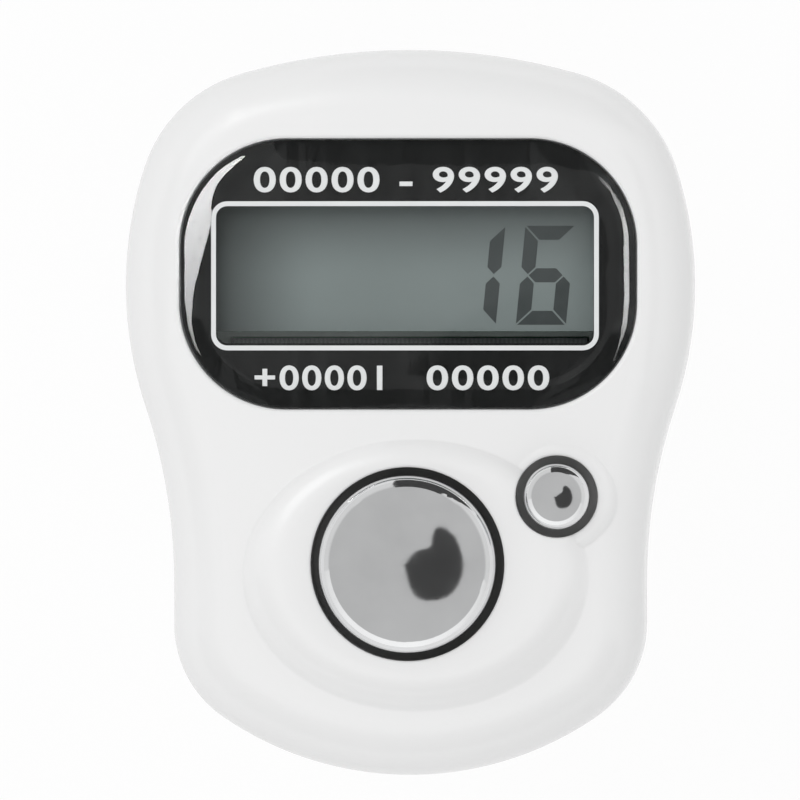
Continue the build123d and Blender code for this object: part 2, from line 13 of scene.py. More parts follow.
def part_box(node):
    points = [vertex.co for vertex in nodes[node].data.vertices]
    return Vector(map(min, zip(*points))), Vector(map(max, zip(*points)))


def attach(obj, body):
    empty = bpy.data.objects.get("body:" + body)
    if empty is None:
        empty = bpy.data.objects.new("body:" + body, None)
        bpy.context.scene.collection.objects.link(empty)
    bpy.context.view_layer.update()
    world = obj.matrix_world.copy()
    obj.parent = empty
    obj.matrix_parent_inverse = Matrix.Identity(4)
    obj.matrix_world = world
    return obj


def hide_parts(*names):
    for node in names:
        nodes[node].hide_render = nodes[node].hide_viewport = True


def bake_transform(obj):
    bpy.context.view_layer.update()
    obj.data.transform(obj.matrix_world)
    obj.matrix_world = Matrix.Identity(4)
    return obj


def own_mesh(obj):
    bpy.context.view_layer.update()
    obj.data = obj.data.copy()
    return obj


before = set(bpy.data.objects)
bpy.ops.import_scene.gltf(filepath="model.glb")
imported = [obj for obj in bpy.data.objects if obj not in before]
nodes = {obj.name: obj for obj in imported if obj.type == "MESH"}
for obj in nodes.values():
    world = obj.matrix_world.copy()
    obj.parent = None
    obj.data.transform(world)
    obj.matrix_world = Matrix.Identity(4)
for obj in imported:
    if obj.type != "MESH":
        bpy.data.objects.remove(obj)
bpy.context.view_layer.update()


# %% [markdown]
# Sizes are written in millimetres, as on the part's drawing, and one helper turns
# a point into metres.

# %% Millimetres
MM = 0.001


def mm(*point):
    """A point given in millimetres, in metres."""
    return Vector(point) * MM


# %% [markdown]
# Round forms are turned from a section of (radius, height) points, as on a lathe.
# Every mesh then becomes an object by the same few steps.

# %% Turned forms and new objects
def turned(mesh, place, profile, turns=32):
    """A closed turned form about an upright axis through a place, added to a mesh."""
    rings = []
    for radius, height in profile:
        if radius == 0:
            rings.append([mesh.verts.new(mm(place[0], place[1], height))])
            continue
        rings.append(
            [
                mesh.verts.new(
                    mm(
                        place[0] + radius * math.cos(math.tau * i / turns),
                        place[1] + radius * math.sin(math.tau * i / turns),
                        height,
                    )
                )
                for i in range(turns)
            ]
        )
    for lower, upper in zip(rings, rings[1:]):
        for i in range(turns):
            after = (i + 1) % turns
            corners = [lower[i % len(lower)], lower[after % len(lower)]]
            corners += [upper[after % len(upper)], upper[i % len(upper)]]
            mesh.faces.new(list(dict.fromkeys(corners)))


def into_object(mesh, name):
    """Turns a mesh under work into an object whose faces look outwards."""
    bmesh.ops.recalc_face_normals(mesh, faces=mesh.faces)
    data = bpy.data.meshes.new(name)
    mesh.to_mesh(data)
    mesh.free()
    made = bpy.data.objects.new(name, data)
    bpy.context.scene.collection.objects.link(made)
    return made


# %% [markdown]
# ## Camera
# The counter was photographed from almost straight above, a couple of degrees to
# its right, from far off with a long lens, so that it hardly tapers. The picture is
# 46 mm wide at the level where the body is widest, and the body sits a little off
# its middle.

# %% Camera
PICTURE_WIDTH = 46.45
CAMERA_DISTANCE = 1000.0
CAMERA_TURN = math.radians(1.7)
SENSOR = 36.0
aim = mm(-0.62, 0.72, 26.0)

camera_data = bpy.data.cameras.new("camera")
camera_data.sensor_width = SENSOR
camera_data.lens = SENSOR * CAMERA_DISTANCE / PICTURE_WIDTH
camera_data.clip_start = 0.01
camera = bpy.data.objects.new("camera", camera_data)
bpy.context.scene.collection.objects.link(camera)
back = Vector((math.sin(CAMERA_TURN), 0, math.cos(CAMERA_TURN)))
camera.location = aim + back * CAMERA_DISTANCE * MM
sideways = Vector((0, 1, 0)).cross(back)
camera.matrix_world = Matrix(
    (
        (sideways.x, 0, back.x, camera.location.x),
        (sideways.y, 1, back.y, camera.location.y),
        (sideways.z, 0, back.z, camera.location.z),
        (0, 0, 0, 1),
    )
)
bpy.context.scene.camera = camera
bpy.context.scene.view_settings.view_transform = "Standard"
print("camera:", round(camera_data.lens), "mm lens,", round(camera.location.z / MM), "mm up")


# %% [markdown]
# ## Floor and backdrop
# A studio cove: a round white floor whose rim sweeps up into a low wall. Rays
# from the camera, and those that metal and glass send on, see it as plain white,
# while part of it stays a matt surface that takes a faint shadow. It lies a
# finger's breadth below the strap, so that the peeled tab can hang free.

# %% Cove
FLOOR_RADIUS = 2400.0
COVE_RADIUS = 600.0
WALL_HEIGHT = 1000.0
FLOOR_LEVEL = -12.0
COVE_STEPS = 12
COVE_TURNS = 96
PAPER_WHITE_SHARE = 0.93
PAPER_GREY = 0.86


cove_profile = [(0, 0), (FLOOR_RADIUS, 0)]
for step in range(1, COVE_STEPS + 1):
    angle = math.pi / 2 * step / COVE_STEPS
    radius = FLOOR_RADIUS + COVE_RADIUS * math.sin(angle)
    cove_profile.append((radius, COVE_RADIUS * (1 - math.cos(angle))))
cove_profile.append((FLOOR_RADIUS + COVE_RADIUS, WALL_HEIGHT))
lowered = [(radius, height + FLOOR_LEVEL) for radius, height in cove_profile]
mesh = bmesh.new()
turned(mesh, (0, 0), lowered, COVE_TURNS)
cove = into_object(mesh, "studio_cove")
cove.data.shade_smooth()

paper = bpy.data.materials.new("white_paper")
paper.use_nodes = True
tree = paper.node_tree
tree.nodes.clear()
path = tree.nodes.new("ShaderNodeLightPath")
seen = tree.nodes.new("ShaderNodeMath")
seen.operation = "MAXIMUM"
also = tree.nodes.new("ShaderNodeMath")
also.operation = "MAXIMUM"
share = tree.nodes.new("ShaderNodeMath")
share.operation = "MULTIPLY"
share.inputs[1].default_value = PAPER_WHITE_SHARE
matt = tree.nodes.new("ShaderNodeBsdfDiffuse")
matt.inputs["Color"].default_value = (PAPER_GREY, PAPER_GREY, PAPER_GREY, 1)
white = tree.nodes.new("ShaderNodeEmission")
white.inputs["Strength"].default_value = 1.0
blend = tree.nodes.new("ShaderNodeMixShader")
out = tree.nodes.new("ShaderNodeOutputMaterial")
tree.links.new(path.outputs["Is Camera Ray"], seen.inputs[0])
tree.links.new(path.outputs["Is Glossy Ray"], seen.inputs[1])
tree.links.new(seen.outputs[0], also.inputs[0])
tree.links.new(path.outputs["Is Transmission Ray"], also.inputs[1])
tree.links.new(also.outputs[0], share.inputs[0])
tree.links.new(share.outputs[0], blend.inputs["Fac"])
tree.links.new(matt.outputs[0], blend.inputs[1])
tree.links.new(white.outputs[0], blend.inputs[2])
tree.links.new(blend.outputs[0], out.inputs["Surface"])
cove.data.materials.append(paper)
print("cove:", len(cove.data.polygons), "faces")


# %% [markdown]
# ## Light
# The photograph has a soft light from the front that leaves the rolled edges a
# little darker, and a smaller, brighter light at the upper left that shows on the
# mound. A plain sky gives the even part and the grey that the chrome faces mirror.

# %% Sky
SKY_PALE = 0.87
SKY_GREY = 0.63
PALE_UP_TO = 0.78
GREY_FROM = 0.87
sky = bpy.data.worlds.new("studio")
bpy.context.scene.world = sky
sky.use_nodes = True
tree = sky.node_tree
tree.nodes.clear()
where = tree.nodes.new("ShaderNodeTexCoord")
parts = tree.nodes.new("ShaderNodeSeparateXYZ")
ramp = tree.nodes.new("ShaderNodeValToRGB")
ramp.color_ramp.elements[0].position = PALE_UP_TO
ramp.color_ramp.elements[0].color = (SKY_PALE, SKY_PALE, SKY_PALE, 1)
ramp.color_ramp.elements[1].position = GREY_FROM
ramp.color_ramp.elements[1].color = (SKY_GREY, SKY_GREY, SKY_GREY, 1)
light = tree.nodes.new("ShaderNodeBackground")
out = tree.nodes.new("ShaderNodeOutputWorld")
tree.links.new(where.outputs["Generated"], parts.inputs[0])
tree.links.new(parts.outputs["Z"], ramp.inputs["Fac"])
tree.links.new(ramp.outputs["Color"], light.inputs["Color"])
tree.links.new(light.outputs[0], out.inputs["Surface"])
print("sky: grey overhead, pale at the horizon")


# %% [markdown]
# Two soft lamps do the rest. The front lamp isn't mirrored, and the key lamp doesn't
# fall on the lens or the chrome, which would show it as a hard white patch.

# %% Lamps
LAMP_TARGET = (0, 0, 28)
MIRRORS = ("display_lens", "count_button", "reset_button")


def lamp(name, place, target, size, watts):
    """A square or oblong soft lamp at a place in millimetres, turned to a target."""
    data = bpy.data.lights.new(name, "AREA")
    data.shape = "RECTANGLE"
    data.size, data.size_y = size[0] * MM, size[1] * MM
    data.energy = watts
    made = bpy.data.objects.new(name, data)
    bpy.context.scene.collection.objects.link(made)
    made.location = mm(*place)
    made.rotation_mode = "QUATERNION"
    made.rotation_quaternion = (mm(*target) - made.location).to_track_quat("-Z", "Y")
    return made


key = lamp("key_lamp", place=(-230, 250, 500), target=LAMP_TARGET, size=(240, 240), watts=0.55)
all_but_mirrors = bpy.data.collections.new("all_but_mirrors")
for name in MIRRORS:
    all_but_mirrors.objects.link(nodes[name])
for member in all_but_mirrors.collection_objects:
    member.light_linking.link_state = "EXCLUDE"
key.light_linking.receiver_collection = all_but_mirrors
front = lamp("front_lamp", place=(-40, -240, 800), target=LAMP_TARGET, size=(400, 400), watts=0.75)
front.visible_glossy = False
print("lamps:", key.name, front.name)


# %% [markdown]
# Chrome and a polished lens look like what stands around them, so the scene has
# what the studio had. The camera and the hand on it are a dark card overhead,
# which the domed chrome mirrors as a dark spot. A black flag above the display
# gives the chrome its dark upper edge. Only mirrored rays meet these cards: the
# camera doesn't see them, and they take no light from the body.

# %% Dark cards
CARD_LEVEL = 700.0
CARD_SHIFT = (-20, -9)
CAMERA_CARD = [
    (-10, 0), (2, 18), (20, 32), (47, 44), (75, 50), (87, 62), (90, 92), (100, 118), (116, 126), (136, 122),
    (171, 92), (186, 58), (197, 20), (201, -8), (196, -44), (184, -76), (164, -104), (140, -122), (110, -131),
    (70, -133), (44, -126), (27, -112), (14, -88), (5, -60), (-4, -30),
]
DOME_STEPS = 12
DOME_MIDDLE = (0, -9, 34)
FLAG_RADIUS = 520.0
FLAG = [(21.5, 101, 84), (35, 102, 62), (50, 102, 54), (69, 101, 46), (88, 100, 40)]


def card(name, corners, faces=None):
    """A thin card through corners given in millimetres, as one face or as several."""
    data = bpy.data.meshes.new(name)
    faces = faces or [list(range(len(corners)))]
    data.from_pydata([mm(*corner) for corner in corners], [], faces)
    made = bpy.data.objects.new(name, data)
    bpy.context.scene.collection.objects.link(made)
    made.visible_camera = False
    made.visible_diffuse = False
    made.visible_shadow = False
    return made


def dome_card(name, radius, rows):
    """A card bent round the count button.

    Each row has its slant from upright and its first and last turn, in degrees."""
    corners = []
    for slant, first, last in rows:
        for step in range(DOME_STEPS + 1):
            turn = math.radians(first + (last - first) * step / DOME_STEPS)
            reach = radius * math.sin(math.radians(slant))
            height = radius * math.cos(math.radians(slant))
            offset = (reach * math.cos(turn), reach * math.sin(turn), height)
            corners.append([middle + away for middle, away in zip(DOME_MIDDLE, offset)])
    wide = DOME_STEPS + 1
    faces = []
    for row in range(len(rows) - 1):
        for step in range(DOME_STEPS):
            at = row * wide + step
            faces.append((at, at + 1, at + wide + 1, at + wide))
    return card(name, corners, faces)


velvet = bpy.data.materials.new("black_velvet")
velvet.use_nodes = True
cloth = velvet.node_tree.nodes["Principled BSDF"]
cloth.inputs["Base Color"].default_value = (0.07, 0.07, 0.07, 1)
cloth.inputs["Roughness"].default_value = 0.9
overhead = [(x + CARD_SHIFT[0], y + CARD_SHIFT[1], CARD_LEVEL) for x, y in CAMERA_CARD]
camera_card = card("camera_card", overhead)
flag = dome_card("black_flag", FLAG_RADIUS, FLAG)
for dark in (camera_card, flag):
    dark.data.materials.append(velvet)
print("dark cards:", camera_card.name, flag.name)


# %% [markdown]
# The lens of the photograph carries a bright wedge along its left edge and a thin
# bright line along its right one, and the lower rim of the chrome is bright. Three
# shining cards make them. Each shines on its own piece alone, so the white body
# keeps its plain light, and each is brightest at one place and fades away from it.
# The two for the lens are small and hang a few millimetres above it, so that seen
# from the side the lens does not fill with their light. The points of these two were
# worked out beforehand by another script, which followed rays from the edges of the
# reflections in the photograph off the lens to the level of the cards.

# %% Shining cards
SHINE_LEVEL = 34.6
WEDGE = [
    (-11.9, 20.2), (-11.7, 17.8), (-12.4, 16.5), (-12.9, 15.6), (-13.2, 14.7), (-13.0, 13.8), (-12.8, 13.0),
    (-12.4, 12.2), (-12.15, 11.6), (-12.1, 11.0), (-12.25, 10.5), (-12.4, 10.0), (-12.8, 9.5), (-13.15, 9.05),
    (-13.6, 8.6), (-14.05, 8.1), (-14.6, 7.65), (-15.1, 7.15), (-15.45, 6.7), (-15.7, 6.1), (-16.0, 5.4),
    (-16.4, 4.6), (-16.5, 3.7), (-17.0, 2.8), (-17.1, 1.5), (-17.6, 0.1), (-19.7, 0.1), (-20.0, 1.0),
    (-19.7, 2.1), (-19.5, 3.2), (-19.6, 4.1), (-19.7, 5.1), (-20.3, 6.1), (-21.1, 7.3), (-21.0, 8.3),
    (-20.9, 9.3), (-21.0, 10.5), (-20.9, 11.4), (-20.9, 12.5), (-20.0, 13.4), (-19.5, 14.4), (-18.6, 15.3),
    (-18.2, 16.3), (-17.5, 17.1), (-16.8, 18.2), (-15.6, 19.2), (-13.7, 19.9),
]
STRIP_INNER = [
    (13.4, 16.1), (14.3, 15.5), (14.8, 14.8), (15.0, 14.0), (15.3, 13.2), (15.3, 12.4), (15.4, 11.7),
    (15.5, 11.0), (15.6, 10.2), (15.5, 9.3), (15.5, 7.8), (15.5, 6.6), (15.4, 5.6), (15.4, 4.9), (15.4, 4.2),
    (15.7, 3.3), (15.8, 2.6), (16.5, 1.2), (17.3, -0.6),
]
STRIP_OUTER = [
    (14.3, 17.0), (15.6, 16.6), (16.5, 15.8), (17.0, 14.8), (17.4, 14.0), (17.6, 13.1), (17.7, 12.2),
    (17.8, 11.3), (17.9, 10.5), (17.9, 9.4), (17.8, 7.8), (17.8, 6.6), (17.7, 5.4), (17.6, 4.4), (17.5, 3.5),
    (17.6, 2.5), (17.4, 1.6), (17.9, 0.2), (18.4, -1.3),
]
RIM_RADIUS = 1500.0
RIM = [(32, 185, 345), (50, 185, 345), (72, 185, 345)]


def shining(made, receivers, strength, brightest, near, far, least):
    """Makes a card shine on some pieces alone, from its brightest place outwards.

    It has its full strength up to near, and the least share of it from far on, both
    in millimetres from the brightest place."""
    glow = bpy.data.materials.new(made.name)
    glow.use_nodes = True
    tree = glow.node_tree
    tree.nodes.clear()
    shine = tree.nodes.new("ShaderNodeEmission")
    place = tree.nodes.new("ShaderNodeTexCoord")
    away = tree.nodes.new("ShaderNodeVectorMath")
    away.operation = "DISTANCE"
    away.inputs[1].default_value = mm(*brightest)
    fade = tree.nodes.new("ShaderNodeMapRange")
    fade.inputs["From Min"].default_value = near * MM
    fade.inputs["From Max"].default_value = far * MM
    fade.inputs["To Min"].default_value = strength
    fade.inputs["To Max"].default_value = strength * least
    out = tree.nodes.new("ShaderNodeOutputMaterial")
    tree.links.new(place.outputs["Object"], away.inputs[0])
    tree.links.new(away.outputs["Value"], fade.inputs["Value"])
    tree.links.new(fade.outputs["Result"], shine.inputs["Strength"])
    tree.links.new(shine.outputs[0], out.inputs["Surface"])
    made.data.materials.append(glow)
    lit = bpy.data.collections.new(made.name + "_lights")
    for name in receivers:
        lit.objects.link(nodes[name])
    made.light_linking.receiver_collection = lit


wedge = card("lens_wedge", [(x, y, SHINE_LEVEL) for x, y in WEDGE])
strip = card("lens_strip", [(x, y, SHINE_LEVEL) for x, y in STRIP_INNER + STRIP_OUTER[::-1]])
rim = dome_card("chrome_rim", RIM_RADIUS, RIM)
upper_left = (-15.3, 18.4, SHINE_LEVEL)
right_middle = (16.6, 9, SHINE_LEVEL)
low_left = (-300, -1150, 900)
shining(wedge, ["display_lens"], strength=40.0, brightest=upper_left, near=5.5, far=19, least=0.2)
shining(strip, ["display_lens"], strength=28.0, brightest=right_middle, near=2.4, far=8.6, least=0.12)
buttons = ["count_button", "reset_button"]
shining(rim, buttons, strength=1.2, brightest=low_left, near=600, far=2000, least=0.7)
print("shining cards:", wedge.name, strip.name, rim.name)


# %% [markdown]
# ## Finishes
# Every finish starts from one shader whose plain values sit on its own sockets.
# A noise then breaks up its colour, its gloss and its surface, at the scale at
# which the real material does so.

# %% Finish helper
def finish(name, dark, pale, cloud, gloss, grain, bump=0.0, **plain):
    """A finish with colour between dark and pale, gloss between two roughnesses, and a fine bump.

    cloud and grain are the sizes in millimetres of the colour patches and of the
    fine surface; bump is the height of that surface in millimetres."""
    made = bpy.data.materials.new(name)
    made.use_nodes = True
    tree = made.node_tree
    shader = tree.nodes["Principled BSDF"]
    for socket, value in plain.items():
        shader.inputs[socket.replace("_", " ")].default_value = value
    place = tree.nodes.new("ShaderNodeTexCoord")
    patches = tree.nodes.new("ShaderNodeTexNoise")
    patches.inputs["Scale"].default_value = 1 / (cloud * MM)
    patches.inputs["Detail"].default_value = 3
    colours = tree.nodes.new("ShaderNodeValToRGB")
    colours.color_ramp.elements[0].position = 0.3
    colours.color_ramp.elements[0].color = (*dark, 1)
    colours.color_ramp.elements[1].position = 0.7
    colours.color_ramp.elements[1].color = (*pale, 1)
    fine = tree.nodes.new("ShaderNodeTexNoise")
    fine.inputs["Scale"].default_value = 1 / (grain * MM)
    fine.inputs["Detail"].default_value = 2
    rough = tree.nodes.new("ShaderNodeMapRange")
    rough.inputs["From Min"].default_value = 0.3
    rough.inputs["From Max"].default_value = 0.7
    rough.inputs["To Min"].default_value = gloss[0]
    rough.inputs["To Max"].default_value = gloss[1]
    tree.links.new(place.outputs["Object"], patches.inputs["Vector"])
    tree.links.new(place.outputs["Object"], fine.inputs["Vector"])
    tree.links.new(patches.outputs["Fac"], colours.inputs["Fac"])
    tree.links.new(colours.outputs["Color"], shader.inputs["Base Color"])
    tree.links.new(fine.outputs["Fac"], rough.inputs["Value"])
    tree.links.new(rough.outputs["Result"], shader.inputs["Roughness"])
    if bump:
        relief = tree.nodes.new("ShaderNodeBump")
        relief.inputs["Distance"].default_value = bump * MM
        relief.inputs["Strength"].default_value = 1.0
        tree.links.new(fine.outputs["Fac"], relief.inputs["Height"])
        tree.links.new(relief.outputs["Normal"], shader.inputs["Normal"])
    return made


def coat(material, *names):
    """Gives CAD nodes a finish."""
    for name in names:
        data = nodes[name].data
        data.materials.clear()
        data.materials.append(material)


# %% [markdown]
# The body is glossy white moulded plastic: nearly even in colour, with a very
# shallow waviness from the mould that softens its reflections. No moulded edge is
# quite sharp, so the edges of the button holes take a quarter of a millimetre of
# rounding in the shader.

# %% White plastic
EDGE_ROUNDING = 0.25
white_plastic = finish(
    "white_plastic", (0.845, 0.846, 0.846), (0.86, 0.861, 0.861), 18, (0.22, 0.26), 4.0, bump=0.002
)
relief = next(node for node in white_plastic.node_tree.nodes if node.type == "BUMP")
rounding = white_plastic.node_tree.nodes.new("ShaderNodeBevel")
rounding.samples = 6
rounding.inputs["Radius"].default_value = EDGE_ROUNDING * MM
white_plastic.node_tree.links.new(rounding.outputs["Normal"], relief.inputs["Normal"])
coat(white_plastic, "front_shell", "rear_cover")

# %% [markdown]
# The buttons are plastic caps whose upper part is plated with chrome. Plate mirrors
# its surroundings, and only faint handling marks vary its gloss. Below the plate the
# skirt is a plain grey that is painted shade: it makes the gap round a button dark.
# The small button's skirt is paler, because the gap round it looks greyer in the photograph.

# %% Chrome
PLATE_FOOT = 31.2
PLATE_BLUR = 0.05
# Plain greys for the skirts below the plate: painted shade for the gap round each button.
COUNT_SKIRT_SHADE = 0.24
RESET_SKIRT_SHADE = 0.6


def plated(name, skirt_shade):
    """Chrome above the plate's foot; below it a plain grey, painted shade for the gap."""
    made = finish(name, (0.66, 0.665, 0.67), (0.74, 0.745, 0.75), 4, (0.05, 0.08), 0.8)
    tree = made.node_tree
    shader = tree.nodes["Principled BSDF"]
    place = tree.nodes.new("ShaderNodeTexCoord")
    height = tree.nodes.new("ShaderNodeSeparateXYZ")
    plate = tree.nodes.new("ShaderNodeMapRange")
    plate.inputs["From Min"].default_value = (PLATE_FOOT - PLATE_BLUR) * MM
    plate.inputs["From Max"].default_value = (PLATE_FOOT + PLATE_BLUR) * MM
    colour = tree.nodes.new("ShaderNodeMix")
    colour.data_type = "RGBA"
    colour.inputs["A"].default_value = (skirt_shade, skirt_shade, skirt_shade, 1)
    tree.links.new(place.outputs["Object"], height.inputs[0])
    tree.links.new(height.outputs["Z"], plate.inputs["Value"])
    tree.links.new(plate.outputs["Result"], shader.inputs["Metallic"])
    tree.links.new(plate.outputs["Result"], colour.inputs["Factor"])
    tree.links.new(shader.inputs["Base Color"].links[0].from_socket, colour.inputs["B"])
    tree.links.new(colour.outputs["Result"], shader.inputs["Base Color"])
    return made


coat(plated("chrome_plate", COUNT_SKIRT_SHADE), "count_button")
coat(plated("chrome_plate_small", RESET_SKIRT_SHADE), "reset_button")
print("chrome: on both buttons, down to", PLATE_FOOT, "mm")


# %% [markdown]
# The inner pieces get plain finishes of their own kind: black print, films, glass,
# rubber, board, resin and plated steel.

# %% Inner pieces
black_print = finish("black_print", (0.003, 0.003, 0.003), (0.006, 0.006, 0.006), 2, (0.4, 0.5), 0.2)
coat(black_print, "lens_mask", "lens_tape")
grey_film = finish("grey_film", (0.205, 0.240, 0.232), (0.225, 0.262, 0.254), 6, (0.5, 0.6), 0.15)
coat(grey_film, "lcd_reflector")
carrier = finish("carrier_plastic", (0.72, 0.72, 0.70), (0.77, 0.77, 0.75), 4, (0.4, 0.5), 0.3, bump=0.002)
coat(carrier, "display_carrier")
dark_rubber = finish("dark_rubber", (0.035, 0.036, 0.036), (0.060, 0.062, 0.060), 0.4, (0.6, 0.75), 0.15)
coat(dark_rubber, "count_pill", "reset_pill")
board = finish("board", (0.02, 0.13, 0.05), (0.035, 0.18, 0.08), 2.5, (0.3, 0.45), 0.3)
coat(board, "circuit_board")
resin = finish("black_resin", (0.015, 0.015, 0.015), (0.03, 0.03, 0.03), 1.5, (0.2, 0.35), 0.3)
coat(resin, "chip_blob", "chip_parts")
steel = finish("bright_steel", (0.60, 0.60, 0.61), (0.70, 0.70, 0.71), 1.2, (0.22, 0.38), 0.15, Metallic=1.0)
coat(steel, "button_cell", "battery_clip", "negative_contact", "board_screws", "case_screws")
print("finishes:", len(bpy.data.materials))


# %% [markdown]
# The strip that joins the display to the board is pressed from thin layers of plain
# and conductive rubber, so fine stripes run across it.

# %% Layered rubber
LAYER_PITCH = 0.25
WAVE_PERIOD = math.tau / 20


def layered(made, pale):
    """Adds thin paler layers across the length of a finish."""
    tree = made.node_tree
    shader = tree.nodes["Principled BSDF"]
    place = tree.nodes.new("ShaderNodeTexCoord")
    layers = tree.nodes.new("ShaderNodeTexWave")
    layers.bands_direction = "X"
    layers.inputs["Scale"].default_value = WAVE_PERIOD / (LAYER_PITCH * MM)
    colour = tree.nodes.new("ShaderNodeMix")
    colour.data_type = "RGBA"
    colour.inputs["B"].default_value = (*pale, 1)
    tree.links.new(place.outputs["Object"], layers.inputs["Vector"])
    tree.links.new(layers.outputs["Fac"], colour.inputs["Factor"])
    tree.links.new(shader.inputs["Base Color"].links[0].from_socket, colour.inputs["A"])
    tree.links.new(colour.outputs["Result"], shader.inputs["Base Color"])
    return made


strip_rubber = finish("strip_rubber", (0.050, 0.051, 0.052), (0.070, 0.071, 0.072), 0.4, (0.6, 0.75), 0.15)
coat(layered(strip_rubber, (0.095, 0.097, 0.098)), "zebra_strip")
print("layered rubber: stripes", LAYER_PITCH, "mm apart")


# %% [markdown]
# The front film of the display has painted shade: its colour is darkened towards
# its left and upper edges, where the light has to come in under the printed film.

# %% Front film, with painted shade
# Painted shade for each side: the edge, where it has faded out, and the darkest share.
FILM_PAINTED_SHADE = {"X": (-11.6, -5.2, 0.33), "Y": (12.6, 7.5, 0.45)}


def paint_film_shade(made):
    """Paints shade into a finish's colour, darker towards the sides named above."""
    tree = made.node_tree
    shader = tree.nodes["Principled BSDF"]
    place = tree.nodes.new("ShaderNodeTexCoord")
    sides = tree.nodes.new("ShaderNodeSeparateXYZ")
    tree.links.new(place.outputs["Object"], sides.inputs[0])
    for side, (edge, clear_of, least) in FILM_PAINTED_SHADE.items():
        fade = tree.nodes.new("ShaderNodeMapRange")
        fade.interpolation_type = "SMOOTHSTEP"
        fade.inputs["From Min"].default_value = edge * MM
        fade.inputs["From Max"].default_value = clear_of * MM
        fade.inputs["To Min"].default_value = least
        tint = tree.nodes.new("ShaderNodeMix")
        tint.data_type = "RGBA"
        tint.blend_type = "MULTIPLY"
        tint.inputs["Factor"].default_value = 1.0
        tree.links.new(sides.outputs[side], fade.inputs["Value"])
        tree.links.new(shader.inputs["Base Color"].links[0].from_socket, tint.inputs["A"])
        tree.links.new(fade.outputs["Result"], tint.inputs["B"])
        tree.links.new(tint.outputs["Result"], shader.inputs["Base Color"])
    return made


front_film = finish("front_film", (0.200, 0.229, 0.224), (0.219, 0.250, 0.245), 6, (0.5, 0.6), 0.15)
coat(paint_film_shade(front_film), "lcd_polariser")
print("front film: darker at the left and at the top")


# %% [markdown]
# ## Lens
# The lens is a clear polished moulding. Light goes straight through it to the
# print, so it is mixed from a clear shader and a mirror, and the angle of the
# surface decides how much of each shows. The inner face lies on the film and
# mirrors nothing.

# %% Clear lens and glass
SMEAR_SIZE = 2.5


def clear(name, bend, gloss, tint):
    """A clear finish that mirrors more at a slant."""
    made = bpy.data.materials.new(name)
    made.use_nodes = True
    tree = made.node_tree
    tree.nodes.clear()
    edge = tree.nodes.new("ShaderNodeFresnel")
    edge.inputs["IOR"].default_value = bend
    face = tree.nodes.new("ShaderNodeNewGeometry")
    outer = tree.nodes.new("ShaderNodeMath")
    outer.operation = "SUBTRACT"
    outer.use_clamp = True
    through = tree.nodes.new("ShaderNodeBsdfTransparent")
    through.inputs["Color"].default_value = (*tint, 1)
    mirror = tree.nodes.new("ShaderNodeBsdfGlossy")
    place = tree.nodes.new("ShaderNodeTexCoord")
    smear = tree.nodes.new("ShaderNodeTexNoise")
    smear.inputs["Scale"].default_value = 1 / (SMEAR_SIZE * MM)
    rough = tree.nodes.new("ShaderNodeMapRange")
    rough.inputs["To Min"].default_value = gloss[0]
    rough.inputs["To Max"].default_value = gloss[1]
    mix = tree.nodes.new("ShaderNodeMixShader")
    out = tree.nodes.new("ShaderNodeOutputMaterial")
    tree.links.new(place.outputs["Object"], smear.inputs["Vector"])
    tree.links.new(smear.outputs["Fac"], rough.inputs["Value"])
    tree.links.new(rough.outputs["Result"], mirror.inputs["Roughness"])
    tree.links.new(edge.outputs[0], outer.inputs[0])
    tree.links.new(face.outputs["Backfacing"], outer.inputs[1])
    tree.links.new(outer.outputs[0], mix.inputs["Fac"])
    tree.links.new(through.outputs[0], mix.inputs[1])
    tree.links.new(mirror.outputs[0], mix.inputs[2])
    tree.links.new(mix.outputs[0], out.inputs["Surface"])
    return made


lens_finish = clear("clear_lens", bend=1.36, gloss=(0.02, 0.05), tint=(0.97, 0.98, 0.98))
glass_finish = clear("thin_glass", bend=1.5, gloss=(0.02, 0.05), tint=(0.93, 0.96, 0.95))
coat(lens_finish, "display_lens")
coat(glass_finish, "lcd_front_glass", "lcd_rear_glass")
print("lens and glasses: clear")


# %% [markdown]
# ## Print on the lens
# A white line frames the display window, and lines of plain numbers stand above
# and below it. All of it is printed under the lens, so it lies flat on the black
# film as sheets two hundredths of a millimetre thick.

# %% White print
PRINT_THICK = 0.02
mask_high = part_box("lens_mask")[1]
white_print = finish("white_print", (0.80, 0.80, 0.80), (0.84, 0.84, 0.84), 1.5, (0.4, 0.5), 0.2)


def settle(made, material, body="housing"):
    """Gives a new piece its finish and the body that carries it."""
    made.data.materials.clear()
    made.data.materials.append(material)
    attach(made, body)
    return made


def sheet_from(name, outlines, level, thick):
    """Flat closed shapes, each a list of (x, y) in millimetres, raised to a thin sheet."""
    mesh = bmesh.new()
    for outline in outlines:
        face = mesh.faces.new([mesh.verts.new(mm(x, y, level)) for x, y in outline])
        raised = bmesh.ops.extrude_face_region(mesh, geom=[face])["geom"]
        corners = [v for v in raised if isinstance(v, bmesh.types.BMVert)]
        bmesh.ops.translate(mesh, verts=corners, vec=mm(0, 0, thick))
    return into_object(mesh, name)


def rounded_box(width, height, radius, count=10):
    """Corner-rounded rectangle about the origin, as points."""
    points = []
    for turn, (sx, sy) in enumerate(((1, 1), (-1, 1), (-1, -1), (1, -1))):
        for i in range(count + 1):
            angle = math.pi / 2 * (turn + i / count)
            points.append(
                (
                    sx * (width / 2 - radius) + radius * math.cos(angle),
                    sy * (height / 2 - radius) + radius * math.sin(angle),
                )
            )
    return points


# %% [markdown]
# The frame line is a closed ring: flat strips above and below, and walls between.

